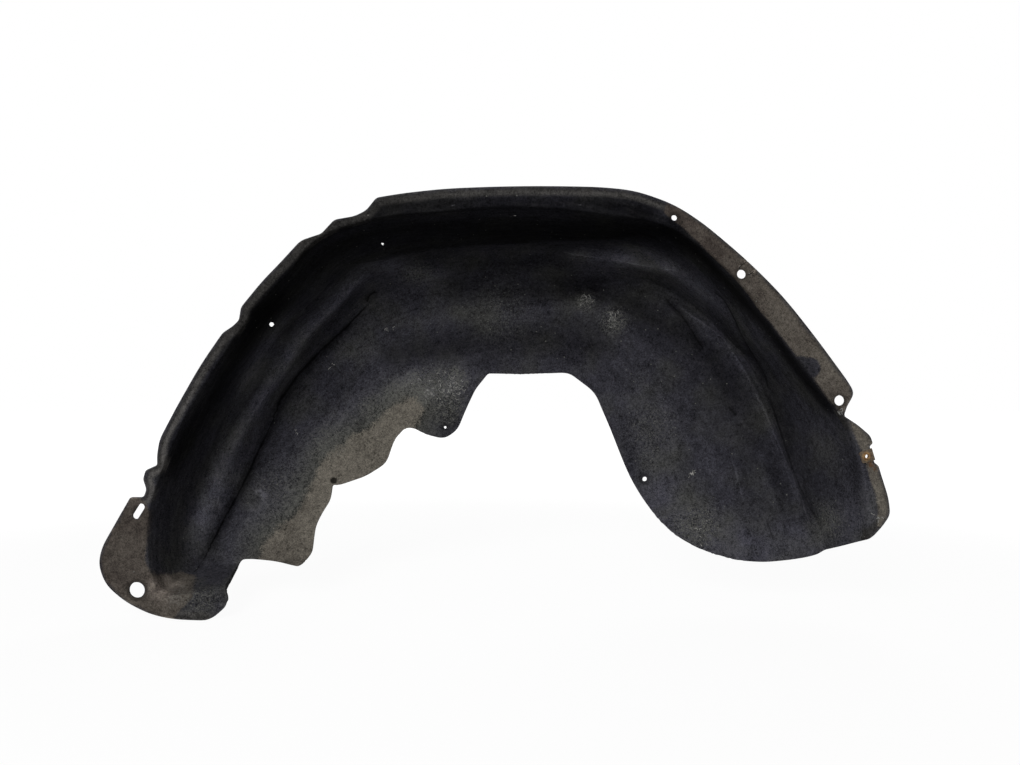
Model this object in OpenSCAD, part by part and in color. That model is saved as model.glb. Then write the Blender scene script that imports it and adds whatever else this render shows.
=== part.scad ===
// Wheel arch liner: one moulded felt shell that lines the arch above a car's wheel,
// with the folded spring-steel nut that is clipped on the lower end of its flange.
// The wheel's axis runs along Y. The flange faces the outside of the car, at -Y, and the
// barrel runs inboard from it, along +Y, to the inner wall. Angles are in degrees about the
// wheel's axis, from +X towards +Z, so the arch runs from its right end at 0 to its left at 190.

/* [Arch] */
// Radius of the arch where the flange folds into the barrel
arch_r = 395; // [380:1:410]
// Depth of the barrel at the top of the arch
barrel_depth = 200; // [170:1:230]
// Thickness of the moulded felt
wall = 3; // [2.4:0.1:3.6]

/* [Bends] */
// Length of the bend on each side of the flange's fold
fold_bend = 4; // [3:0.5:5]
// Length of the bend on each side of the barrel's foot
foot_bend = 30; // [20:1:40]
// Length of the bend on each side of the groove round the inner wall
groove_bend = 6; // [4:0.5:9]
// Length of the bend on each side of the inner wall's raised border
border_bend = 9; // [5:0.5:12]

/* [Fixings] */
// Diameter of the large locating hole in the left tab
locating_d = 17.6; // [14:0.2:18.4]
// Width of the slot in the left tab
slot_w = 7.6; // [6:0.2:8.4]
// Length of the slot in the left tab, end to end
slot_len = 19; // [15:0.5:21]
// Diameter of the upper screw hole in the right flange
upper_screw_d = 6.4; // [5:0.2:8]
// Diameter of the middle screw hole in the right flange
middle_screw_d = 10; // [8:0.2:11]
// Diameter of the lower screw hole in the right flange
lower_screw_d = 11.4; // [9:0.2:12.4]
// Diameter of the left one of the two holes punched at a slant through the barrel
left_barrel_hole_d = 5.6; // [4:0.2:8]
// Diameter of the top one of the two holes punched at a slant through the barrel
top_barrel_hole_d = 4.8; // [4:0.2:8]
// Diameter of the push-pin hole through the inner wall's right side
pin_d = 6; // [5:0.2:8]
// Diameter of the small hole in the lobe of the inner wall
lobe_hole_d = 3.6; // [3:0.2:6]
// Width of the ring of pressed felt round the holes in the inner wall
pressed_ring = 3.5; // [2:0.5:5]
// Depth to which the felt is pressed round those holes
pressed_drop = 0.9; // [0.5:0.1:1.3]
// Diameter of the blind dimples
dimple_d = 8; // [6:0.2:10]
// Depth of the blind dimples
dimple_drop = 1.5; // [0.8:0.1:1.6]
// Width of the two tears at the middle screw hole
tear_w = 0.8; // [0.5:0.1:1.2]

/* [Clip nut] */
// Width of the clip nut along the flange
nut_w = 13; // [11:0.5:14]
// Length of the clip nut's front leaf, in from the edge of the flange
nut_leaf = 13; // [11.5:0.5:13.5]
// Thickness of the clip nut's spring steel
nut_sheet = 0.9; // [0.6:0.1:1.2]
// Diameter of the clearance hole for the nut's screw
nut_clearance_d = 5.6; // [5:0.2:6.4]
// Bore of the clip nut's thread collar
nut_thread_d = 4.2; // [3.6:0.2:4.6]
// Height of the clip nut's thread collar above its leaf
nut_collar_h = 1.8; // [1:0.2:3]

/* [Hidden] */
felt_colour = [0.12, 0.12, 0.13];
nut_colour = [0.45, 0.27, 0.15];
overcut = 1;

// Fold between flange and barrel: angle, how far it stands outside the arch radius
fold_line = [
    [-8, -5], [8, -3], [15, 0], [21.5, 1], [27, -6], [36, -13], [41, -13], [51, -1], [65, 10],
    [76, -1], [88, -5], [100, -3], [111, 11], [122, 22], [128, 9], [136, 3], [146, -2],
    [156, 1], [165, 6], [173, 12], [180, 9], [184, 3], [194, -4]
];
// Foot of the steep part of the barrel: angle, inset from the fold, share of the barrel's depth
foot_line = [
    [-8, 9, 0.08], [4, 9, 0.11], [20, 7, 0.2], [34, 9, 0.36], [42, 12, 0.46], [52, 11, 0.5],
    [62, 13, 0.64], [74, 18, 0.76], [90, 24, 0.82], [112, 26, 0.8], [124, 29, 0.8],
    [134, 20, 0.8], [150, 9, 0.62], [162, 15, 0.64], [172, 15, 0.5], [178, 13, 0.43],
    [183.4, 10, 0.33], [184.7, 10, 0.16], [186, 10, 0], [194, 10, 0]
];
// Groove between barrel and inner wall: angle, inset from the fold, share of the barrel's depth
groove_line = [
    [-8, 28, 0.28], [3, 31, 0.35], [10, 41, 0.43], [18, 46, 0.5], [30, 22, 0.6],
    [38, 13, 0.66], [50, 22, 0.79], [60, 32, 0.89], [71, 54, 0.98], [86, 60, 1],
    [98, 62, 1], [112, 62, 1], [124, 54, 1], [136, 48, 1], [149, 42, 0.99], [156, 46, 0.93],
    [163, 52, 0.84], [170, 56, 0.71], [177, 49, 0.575], [183.4, 31, 0.45], [184.7, 29, 0.22],
    [186, 28, 0], [194, 28, 0]
];
// Raised border of the inner wall: angle, inset from the groove, rise out of the groove
border_line = [
    [-8, 16, 5], [4, 18, 7], [20, 18, 11], [40, 14, 12], [55, 16, 11], [70, 36, 9], [85, 50, 8],
    [110, 44, 7], [126, 26, 6], [145, 14, 5], [170, 12, 5], [183.4, 12, 4], [186, 12, 0],
    [194, 12, 0]
];
// Inner end of the inner wall: angle, share of the barrel's depth
inner_line = [
    [-8, 0.5], [3, 0.58], [17, 0.72], [28, 0.79], [39, 0.86], [48, 0.91], [60, 0.97], [72, 1],
    [90, 1.01], [120, 1], [135, 0.97], [146, 0.93], [160, 0.86], [172, 0.73], [180, 0.6],
    [183, 0.55], [186.5, 0.5], [189, 0.3], [194, 0.1]
];
// Stations of the loft: the felt is shaped in closer steps where the left end closes
station_angles = concat(
    [for (a = [-6.5 : 2.5 : 177]) a],
    [for (a = [178.4 : 1.6 : 183]) a],
    [for (a = [183.4 : 0.4 : 186.4]) a],
    [188, 190.5, 193]
);
flange_blank = 72;
inner_blank_r = arch_r - 258;
bend_steps = 4;

// How far the straight edge under the clip nut stands outside the arch radius
nut_seat_out = 14.8;

// Trimmed edge, as points: angle, how far it stands outside the arch radius, length of the bend
right_flange_edge = [
    [4.2, 2, 2], [5.4, 11, 5], [7, 21, 6], [9.6, 21.8, 8], [13, 19, 6], [14.7, 18.4, 2],
    [15.3, nut_seat_out, 0.5], [17.9, nut_seat_out, 0.5], [18.2, 19.5, 2], [19.4, 19.5, 4], [21.6, 11, 7],
    [23.8, 0.5, 3], [25, 8, 4], [26.3, 22, 7], [28.5, 21, 10], [37, 17.3, 25], [45, 19.8, 25],
    [53, 23.4, 25], [61, 30.6, 25], [66, 34.8, 20], [72, 33.6, 18]
];
top_flange_edge = [
    [77, 27.2, 15], [83, 20.5, 20], [89, 17.5, 20], [95, 18, 20], [101, 22.2, 20], [107, 28, 12],
    [110.9, 33, 4], [113, 24, 5], [115, 23.5, 5], [117.9, 30, 4], [120.6, 23.5, 4],
    [123.8, 29.3, 6]
];
left_flange_edge = [
    [128.3, 22.5, 14], [132, 20, 14], [137.2, 16, 4], [138.9, 8, 3], [140.3, 9, 3],
    [142, 13, 4], [148, 12.8, 20], [156, 14.3, 15], [161.2, 18.4, 8], [163.6, 15.5, 4],
    [165, 12.5, 2], [166.2, 23.5, 2.5], [167.6, 24, 2.5], [169, 18, 3], [170.3, 19.5, 1.5]
];
left_tab_edge = [
    [170.6, 34, 2], [178, 59.5, 12], [180.4, 63.4, 9], [183.3, 56.5, 12], [186, 36, 12],
    [188.3, 11, 12], [189.7, -13.5, 12], [191.1, -53, 12], [189.2, -70.5, 8], [187.4, -73, 5],
    [185.4, -68, 6], [183.8, -63, 4], [182.8, -67.5, 3]
];
lower_wall_edge = [
    [182.9, -80, 1], [184.7, -141, 5], [182.5, -149.2, 5], [175.6, -148.2, 10], [172, -152.5, 6],
    [168.5, -157.5, 6], [164.3, -153.5, 1.5], [163.7, -162.5, 4], [158.8, -188, 8], [151.4, -205, 9],
    [142, -196.5, 9], [135, -197, 12], [132, -223, 5], [127, -242.5, 10], [119, -241, 8],
    [110.6, -219, 8], [105.2, -200.5, 6], [99.4, -184, 3]
];
axle_gap_edge = [
    [88, -188, 6], [71, -173.5, 9], [60, -183, 12], [48, -209, 14], [39, -222, 15],
    [28, -229.4, 15], [17.5, -226.6, 15], [8, -214.6, 15], [2.1, -195, 12], [358.4, -165, 12],
    [357, -134, 12], [357.1, -102, 12], [358.2, -70, 10], [359.5, -38, 5], [361.4, -22, 5]
];
trimmed_edge = concat(
    right_flange_edge, top_flange_edge, left_flange_edge,
    left_tab_edge, lower_wall_edge, axle_gap_edge
);

// Fixings and marks: angle, how far outside the arch radius and, where they differ, diameter
locating_at = [184.4, 22.4];
slot_at = [172.5, 22.8];
slot_tilt = 58;
screws_at = [
    [65.1, 21.4, upper_screw_d], [51.7, 7.2, middle_screw_d], [26.3, 3.4, lower_screw_d]
];
// The barrel's holes also have the angle their axis leans from and its lean to the front
barrel_holes_at = [
    [137.2, -5.4, left_barrel_hole_d, 166, 75], [113.6, -0.1, top_barrel_hole_d, 113.6, 65]
];
pin_at = [24.8, -215.2];
lobe_hole_at = [123.5, -230.4];
flange_dimples_at = [[79.7, 6.5], [99.9, 5.2]];
wall_dimples_at = [[163, -153], [170.1, -71.5]];
tears_from_hole = [
    [[51.7, 7.2], [51.1, 9], [50.6, 13], [50.5, 18.3]],
    [[51.7, 7.2], [52.6, 11.5], [52.35, 20.5], [52, 27]]
];

// Clip nut: it sits over the straight stretch of the flange's edge between 15.3 and 17.9
nut_angle = 16.6;
nut_edge_r = (arch_r + nut_seat_out) * cos(1.3);
nut_hole_in = 6.5;
nut_rear_leaf = nut_leaf - 3.5;
nut_felt_hole_d = nut_clearance_d + 1;
nut_collar_wall = 1;
nut_bend_r = wall / 2 + nut_sheet;

// Value in one column of a guide line at an angle, on a smooth curve that never overshoots
function slope(line, i, c) = (line[i + 1][c] - line[i][c]) / (line[i + 1][0] - line[i][0]);
function knot_slope(line, i, c) =
    i == 0 || i == len(line) - 1 ? 0 :
    let (before = slope(line, i - 1, c), after = slope(line, i, c))
    before * after <= 0 ? 0 : 2 * before * after / (before + after);
function span_of(line, a, i = 0) =
    i >= len(line) - 2 || a < line[i + 1][0] ? i : span_of(line, a, i + 1);
function along(line, a, c = 1) =
    let (
        i = span_of(line, a),
        h = line[i + 1][0] - line[i][0],
        u = (a - line[i][0]) / h
    )
    line[i][c] * (1 + 2 * u) * (1 - u) * (1 - u)
    + knot_slope(line, i, c) * h * u * (1 - u) * (1 - u)
    + line[i + 1][c] * u * u * (3 - 2 * u)
    + knot_slope(line, i + 1, c) * h * u * u * (u - 1);

// Corners of the section at an angle, as radius and depth, from the fold to the inner end
function fold_at(a) = [arch_r + along(fold_line, a), 0];
function foot_at(a) = fold_at(a) + [-along(foot_line, a), barrel_depth * along(foot_line, a, 2)];
function groove_at(a) =
    fold_at(a) + [-along(groove_line, a), barrel_depth * along(groove_line, a, 2)];
function border_at(a) = groove_at(a) - [along(border_line, a), along(border_line, a, 2)];
function inner_at(a) = [inner_blank_r, barrel_depth * along(inner_line, a)];

// Depth at a radius on the straight line through two corners
function depth_between(p, q, r) = p[1] + (q[1] - p[1]) * (p[0] - r) / (p[0] - q[0]);
function barrel_y(a, r) = depth_between(fold_at(a), foot_at(a), r);
function inner_wall_y(a, r) = depth_between(border_at(a), inner_at(a), r);

// A corner b between a and c becomes a smooth bend that starts and ends a set length from it
function bend(a, b, c, length, steps) =
    let (
        reach = min(length, 0.46 * norm(a - b), 0.46 * norm(c - b)),
        p = b + reach * (a - b) / norm(a - b),
        q = b + reach * (c - b) / norm(c - b)
    )
    [for (i = [0 : steps]) let (t = i / steps)
        (1 - t) * (1 - t) * p + 2 * t * (1 - t) * b + t * t * q];

// Section of the felt's wheel side at an angle, as points of radius and depth
function section(a) =
    let (
        edge = fold_at(a) + [flange_blank, 0],
        fold = bend(edge, fold_at(a), foot_at(a), fold_bend, bend_steps - 1),
        foot = bend(fold_at(a), foot_at(a), groove_at(a), foot_bend, bend_steps),
        groove = bend(foot_at(a), groove_at(a), border_at(a), groove_bend, bend_steps),
        border = bend(groove_at(a), border_at(a), inner_at(a), border_bend, bend_steps - 1),
        inner = inner_at(a)
    )
    concat(
        [edge], fold, [(fold[len(fold) - 1] + foot[0]) / 2],
        foot, [(foot[len(foot) - 1] + groove[0]) / 2],
        groove, border, [(border[len(border) - 1] + inner) / 2, inner]
    );

function at_angle(a, p) = [p[0] * cos(a), p[1], p[0] * sin(a)];
function clamp_index(i, n) = max(0, min(n - 1, i));
function unit(v) = v / norm(v);

// Point of the wheel-side grid moved through the felt, square to its surface
function behind(grid, j, i) =
    let (
        rows = len(grid),
        cols = len(grid[0]),
        across = grid[j][clamp_index(i + 1, cols)] - grid[j][clamp_index(i - 1, cols)],
        round = grid[clamp_index(j + 1, rows)][i] - grid[clamp_index(j - 1, rows)][i]
    )
    grid[j][i] + wall * unit(cross(across, round));

// Four corners as two triangles, split along the shorter diagonal
function quad(p, a, b, c, d) =
    norm(p[a] - p[c]) <= norm(p[b] - p[d]) + 0.01
    ? [[a, b, c], [a, c, d]]
    : [[a, b, d], [b, c, d]];

// The whole blank before trimming, lofted through the sections and closed all round
module blank() {
    front = [for (a = station_angles) [for (p = section(a)) at_angle(a, p)]];
    rows = len(front);
    cols = len(front[0]);
    back = [for (j = [0 : rows - 1]) [for (i = [0 : cols - 1]) behind(front, j, i)]];
    p = concat([for (row = front) each row], [for (row = back) each row]);
    function f(j, i) = j * cols + i;
    function b(j, i) = (rows + j) * cols + i;
    skins = [
        for (j = [0 : rows - 2], i = [0 : cols - 2]) each concat(
            quad(p, f(j, i), f(j, i + 1), f(j + 1, i + 1), f(j + 1, i)),
            quad(p, b(j, i), b(j + 1, i), b(j + 1, i + 1), b(j, i + 1))
        )
    ];
    rims = [
        for (j = [0 : rows - 2]) each concat(
            quad(p, f(j, 0), f(j + 1, 0), b(j + 1, 0), b(j, 0)),
            quad(p, f(j, cols - 1), b(j, cols - 1), b(j + 1, cols - 1), f(j + 1, cols - 1))
        )
    ];
    ends = [
        for (i = [0 : cols - 2]) each concat(
            quad(p, f(0, i), b(0, i), b(0, i + 1), f(0, i + 1)),
            quad(p, f(rows - 1, i), f(rows - 1, i + 1), b(rows - 1, i + 1), b(rows - 1, i))
        )
    ];
    polyhedron(points = p, faces = concat(skins, rims, ends), convexity = 6);
}

// Trimmed edge as a flat outline in the plane of the flange
function edge_point(p) = (arch_r + p[1]) * [cos(p[0]), sin(p[0])];
function rounded_edge(list) =
    let (n = len(list))
    [for (i = [0 : n - 1]) each bend(
        edge_point(list[(i + n - 1) % n]), edge_point(list[i]), edge_point(list[(i + 1) % n]),
        list[i][2], list[i][2] < 2 ? 1 : bend_steps
    )];

module trim_outline() {
    polygon(rounded_edge(trimmed_edge));
}

// Turns a flat outline into a bar along Y that runs from one depth to another
module along_y(from, to) {
    translate([0, to, 0]) rotate([90, 0, 0]) linear_extrude(to - from) children();
}

// Moves children to a point and turns their Z axis towards a direction
module facing(at, z) {
    x = unit(cross([0, 0, 1], z));
    y = cross(z, x);
    multmatrix([
        [x[0], y[0], z[0], at[0]],
        [x[1], y[1], z[1], at[1]],
        [x[2], y[2], z[2], at[2]],
        [0, 0, 0, 1]
    ]) children();
}

// Places on the wheel side, and the direction square to it there
function flange_place(at) = at_angle(at[0], [arch_r + at[1], 0]);
function barrel_place(at) = at_angle(at[0], [arch_r + at[1], barrel_y(at[0], arch_r + at[1])]);
function wall_place(at) = at_angle(at[0], [arch_r + at[1], inner_wall_y(at[0], arch_r + at[1])]);
function wall_facing(at) =
    let (
        across = wall_place(at + [0, 3]) - wall_place(at - [0, 3]),
        round = wall_place(at + [1, 0]) - wall_place(at - [1, 0])
    )
    unit(cross(across, round));

module hole(d) {
    translate([0, 0, -wall - overcut]) cylinder(d = d, h = wall + 2 * overcut, $fn = 48);
}

module flange_hole(at, d) {
    facing(flange_place(at), [0, -1, 0]) hole(d);
}

module slot_hole() {
    translate(flange_place(slot_at)) rotate([0, -slot_tilt, 0])
        along_y(-overcut, wall + overcut) {
            square([slot_len - slot_w, slot_w], center = true);
            for (side = [-1, 1])
                translate([side * (slot_len - slot_w) / 2, 0]) circle(d = slot_w, $fn = 48);
        }
}

// A punched hole that leans from the wheel's axis towards the outside of the car
module barrel_hole(at) {
    lean = unit(cos(at[4]) * at_angle(at[3], [-1, 0]) + sin(at[4]) * [0, -1, 0]);
    facing(barrel_place(at), lean)
        cylinder(d = at[2], h = 10 * wall, center = true, $fn = 48);
}

// A hole in the inner wall with a ring of pressed felt round its mouth
module pressed_hole(at, d) {
    facing(wall_place(at), wall_facing(at)) {
        hole(d);
        translate([0, 0, -pressed_drop])
            cylinder(d = d + 2 * pressed_ring, h = wall, $fn = 48);
    }
}

// A tear through the flange along a line of points
module tear(line) {
    along_y(-overcut, wall + overcut)
        for (i = [0 : len(line) - 2])
            hull()
                for (p = [line[i], line[i + 1]])
                    translate(edge_point(p)) circle(d = tear_w, $fn = 12);
}

module dimple() {
    ball_r = (dimple_d * dimple_d / 4 + dimple_drop * dimple_drop) / (2 * dimple_drop);
    translate([0, 0, ball_r - dimple_drop]) sphere(r = ball_r, $fn = 64);
}

module clip_nut_place() {
    rotate([0, -nut_angle, 0]) translate([nut_edge_r, 0, 0]) children();
}

module arch_liner() {
    color(felt_colour)
        difference() {
            intersection() {
                blank();
                along_y(-overcut, barrel_depth * 1.1) trim_outline();
            }
            flange_hole(locating_at, locating_d);
            slot_hole();
            for (at = screws_at) flange_hole(at, at[2]);
            for (line = tears_from_hole) tear(line);
            for (at = barrel_holes_at) barrel_hole(at);
            pressed_hole(pin_at, pin_d);
            pressed_hole(lobe_hole_at, lobe_hole_d);
            for (at = flange_dimples_at) facing(flange_place(at), [0, -1, 0]) dimple();
            for (at = wall_dimples_at) facing(wall_place(at), wall_facing(at)) dimple();
            clip_nut_place() translate([-nut_hole_in, 0, 0]) facing([0, 0, 0], [0, -1, 0])
                hole(nut_felt_hole_d);
        }
}

// One leaf of the clip nut, from the flange's edge inwards, with rounded corners
module nut_leaf_plate(length, y) {
    corner = 2;
    along_y(y, y + nut_sheet)
        difference() {
            translate([-length, -nut_w / 2]) square([length, nut_w]);
            for (side = [-1, 1])
                translate([-length, side * nut_w / 2]) difference() {
                    square(2 * corner, center = true);
                    translate([corner, -side * corner]) circle(r = corner, $fn = 32);
                }
        }
}

module nut_collar_body(d, extra) {
    translate([-nut_hole_in, extra, 0]) rotate([90, 0, 0])
        cylinder(d = d, h = nut_sheet + nut_collar_h + 2 * extra, $fn = 48);
}

module clip_nut() {
    color(nut_colour) clip_nut_place()
        difference() {
            union() {
                nut_leaf_plate(nut_leaf, -nut_sheet);
                nut_leaf_plate(nut_rear_leaf, wall);
                difference() {
                    translate([0, wall / 2, -nut_w / 2])
                        cylinder(r = nut_bend_r, h = nut_w, $fn = 48);
                    translate([0, wall / 2, -nut_w])
                        cylinder(r = wall / 2, h = 2 * nut_w, $fn = 48);
                    translate([-2 * nut_bend_r, wall / 2 - 2 * nut_bend_r, -nut_w])
                        cube([2 * nut_bend_r, 4 * nut_bend_r, 2 * nut_w]);
                }
                nut_collar_body(nut_thread_d + 2 * nut_collar_wall, 0);
            }
            nut_collar_body(nut_thread_d, overcut);
            translate([-nut_hole_in, wall + 2 * nut_sheet, 0]) rotate([90, 0, 0])
                cylinder(d = nut_clearance_d, h = 3 * nut_sheet, $fn = 48);
        }
}

// The origin is the middle of the locating hole, on the flange's outer face
module in_place() {
    translate(-flange_place(locating_at)) children();
}

in_place() arch_liner();
in_place() clip_nut();
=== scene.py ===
import math
import bmesh
import bpy
import numpy as np
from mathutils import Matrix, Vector, noise
from mathutils.bvhtree import BVHTree


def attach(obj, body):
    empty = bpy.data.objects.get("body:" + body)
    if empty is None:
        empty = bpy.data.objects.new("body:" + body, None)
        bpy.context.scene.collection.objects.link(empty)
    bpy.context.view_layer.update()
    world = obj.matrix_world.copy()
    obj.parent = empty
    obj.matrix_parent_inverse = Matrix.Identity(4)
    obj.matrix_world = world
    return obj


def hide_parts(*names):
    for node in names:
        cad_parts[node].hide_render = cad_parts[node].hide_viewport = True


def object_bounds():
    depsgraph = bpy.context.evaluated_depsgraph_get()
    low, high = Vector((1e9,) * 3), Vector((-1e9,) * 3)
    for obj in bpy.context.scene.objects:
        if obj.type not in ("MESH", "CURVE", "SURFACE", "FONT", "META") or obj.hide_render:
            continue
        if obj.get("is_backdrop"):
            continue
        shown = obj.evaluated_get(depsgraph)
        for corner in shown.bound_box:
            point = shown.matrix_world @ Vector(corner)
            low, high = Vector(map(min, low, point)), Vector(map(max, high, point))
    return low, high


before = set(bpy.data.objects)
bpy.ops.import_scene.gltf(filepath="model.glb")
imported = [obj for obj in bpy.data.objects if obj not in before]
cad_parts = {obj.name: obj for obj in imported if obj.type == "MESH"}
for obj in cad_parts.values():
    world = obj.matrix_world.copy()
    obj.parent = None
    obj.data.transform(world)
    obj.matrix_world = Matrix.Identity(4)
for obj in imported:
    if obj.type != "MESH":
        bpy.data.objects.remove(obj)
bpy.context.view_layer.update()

# places on the felt are in millimetres, as (X, Z) in the front view or as (X, Y, Z);
# the clip nut, the floor, the lamps and the camera are in metres
mm = 0.001
weldGap = 0.000004
wheelAxis = (416.17, 32.02)
wheelEye = (wheelAxis[0], -150.0, wheelAxis[1])  # seen from here, the felt shows its wheel side
print("frame loaded")


def selectOnly(piece):
    if bpy.context.object and bpy.context.object.mode != "OBJECT":
        bpy.ops.object.mode_set(mode="OBJECT")
    bpy.ops.object.select_all(action="DESELECT")
    piece.select_set(True)
    bpy.context.view_layer.objects.active = piece


def applyModifier(piece, kind, settings):
    selectOnly(piece)
    modifier = piece.modifiers.new(kind.lower(), kind)
    for key, value in settings.items():
        setattr(modifier, key, value)
    bpy.ops.object.modifier_apply(modifier=modifier.name)


def editAll(piece, *steps):
    # runs mesh operators, each with its settings, on the whole piece
    selectOnly(piece)
    bpy.ops.object.mode_set(mode="EDIT")
    bpy.ops.mesh.select_all(action="SELECT")
    for operator, settings in steps:
        operator(**settings)
    bpy.ops.object.mode_set(mode="OBJECT")


def copyNode(node, name):
    # a welded copy of a solid's mesh, without its material
    piece = bpy.data.objects.new(name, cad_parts[node].data.copy())
    piece.data.materials.clear()
    bpy.context.collection.objects.link(piece)
    editAll(piece, (bpy.ops.mesh.remove_doubles, {"threshold": weldGap}),
            (bpy.ops.mesh.customdata_custom_splitnormals_clear, {}))
    return piece


def vertexPlaces(piece):
    places = np.empty(len(piece.data.vertices) * 3)
    piece.data.vertices.foreach_get("co", places)
    return places.reshape(-1, 3) / mm


def writeNumbers(piece, name, values):
    layer = piece.data.attributes.new(name, "FLOAT", "POINT")
    layer.data.foreach_set("value", np.asarray(values, dtype=np.float32))


def lineDistance(places, line):
    # distance from each place to a line of points, how far along the line it is and on which
    # side of it in the front view (1 left, -1 right); places are flat or in space
    points = np.array(line, dtype=float)
    best = np.full(len(places), np.inf)
    share = np.zeros(len(places))
    side = np.ones(len(places))
    lengths = np.linalg.norm(np.diff(points, axis=0), axis=1)
    total = lengths.sum()
    passed = 0.0
    for start, end, length in zip(points[:-1], points[1:], lengths):
        step = end - start
        away = places - start
        t = np.clip((away @ step) / (length * length), 0, 1)
        gap = np.linalg.norm(away - t[:, None] * step, axis=1)
        closer = gap < best
        best[closer] = gap[closer]
        share[closer] = (passed + t[closer] * length) / total
        turn = step[0] * away[:, -1] - step[-1] * away[:, 0]
        side[closer] = np.where(turn[closer] >= 0, 1.0, -1.0)
        passed += length
    return best, share, side


def insideLoop(places, loop):
    x, z = places[:, 0], places[:, 1]
    inside = np.zeros(len(places), bool)
    for (x0, z0), (x1, z1) in zip(loop, loop[1:] + loop[:1]):
        if z0 == z1:
            continue
        crosses = ((z0 > z) != (z1 > z)) & (x < (x1 - x0) * (z - z0) / (z1 - z0) + x0)
        inside ^= crosses
    return inside


def smoothStep(low, high, value):
    t = np.clip((value - low) / (high - low), 0, 1)
    return t * t * (3 - 2 * t)


def endFade(share, part):
    # 0 at both ends of a line and 1 between, by the share of the line passed
    return smoothStep(0, part, share) * smoothStep(0, part, 1 - share)


class Wire:
    # a socket that can be used in sums
    def __init__(self, maker, socket):
        self.maker = maker
        self.socket = socket

    def maths(self, operation, *values):
        return self.maker.node("ShaderNodeMath", {"operation": operation}, dict(enumerate(values)))

    def also(self, output):
        # another output of the same node
        return Wire(self.maker, self.socket.node.outputs[output])

    def __add__(self, other):
        return self.maths("ADD", self, other)

    def __radd__(self, other):
        return self.maths("ADD", other, self)

    def __sub__(self, other):
        return self.maths("SUBTRACT", self, other)

    def __rsub__(self, other):
        return self.maths("SUBTRACT", other, self)

    def __mul__(self, other):
        return self.maths("MULTIPLY", self, other)

    def __truediv__(self, other):
        return self.maths("DIVIDE", self, other)

    def __abs__(self):
        return self.maths("ABSOLUTE", self)

    def smaller(self, other):
        return self.maths("MINIMUM", self, other)

    def larger(self, other):
        return self.maths("MAXIMUM", self, other)

    def between(self, low, high):
        # 0 below low, 1 above high, smooth in between; low above high turns it round
        if low > high:
            return 1 - self.between(high, low)
        return self.maker.node(
            "ShaderNodeMapRange", {"interpolation_type": "SMOOTHSTEP"},
            {"Value": self, "From Min": low, "From Max": high, "To Min": 0.0, "To Max": 1.0})


class Finish:
    # the nodes of a material or of the world
    def __init__(self, owner):
        self.owner = owner
        owner.use_nodes = True
        self.tree = owner.node_tree
        self.tree.nodes.clear()

    def node(self, kind, settings=None, sockets=None, output=0):
        made = self.tree.nodes.new(kind)
        for key, value in (settings or {}).items():
            if key == "stops":
                ramp = made.color_ramp.elements
                while len(ramp) < len(value):
                    ramp.new(0.5)
                for element, (place, colour) in zip(ramp, value):
                    element.position = place
                    element.color = (*colour, 1)
            else:
                setattr(made, key, value)
        for key, value in (sockets or {}).items():
            if isinstance(value, Wire):
                self.tree.links.new(value.socket, made.inputs[key])
            else:
                made.inputs[key].default_value = value
        return Wire(self, made.outputs[output])

    def number(self, name):
        return self.node("ShaderNodeAttribute", {"attribute_name": name}, output="Fac")

    def places(self, turn=(0, 0, 0), shift=(0, 0, 0)):
        coordinates = self.node("ShaderNodeTexCoord", output="Object")
        return self.node("ShaderNodeMapping", {}, {
            "Vector": coordinates, "Location": shift, "Rotation": [math.radians(t) for t in turn]})

    def grain(self, places, scale, detail=3.0, rough=0.55, distortion=0.0):
        return self.node("ShaderNodeTexNoise", {}, {
            "Vector": places, "Scale": scale, "Detail": detail,
            "Roughness": rough, "Distortion": distortion})

    def blend(self, factor, first, second):
        return self.node("ShaderNodeMix", {"data_type": "RGBA", "clamp_factor": True}, {
            0: factor, 6: first, 7: second}, output=2)

    def tint(self, colour, amount):
        # a colour times a number that varies over the surface
        return self.node("ShaderNodeVectorMath", {"operation": "SCALE"}, {0: colour, "Scale": amount})

    def ramp(self, factor, stops):
        return self.node("ShaderNodeValToRGB", {"stops": stops}, {"Fac": factor})

    def bump(self, height, strength, distance):
        return self.node("ShaderNodeBump", {}, {
            "Height": height, "Strength": strength, "Distance": distance})

    def outlet(self, shader, kind="ShaderNodeOutputMaterial"):
        end = self.tree.nodes.new(kind)
        self.tree.links.new(shader.socket, end.inputs["Surface"])
        return self.owner

    def surface(self, sockets, constants):
        return self.outlet(self.node("ShaderNodeBsdfPrincipled", {}, {**sockets, **constants}))


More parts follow.
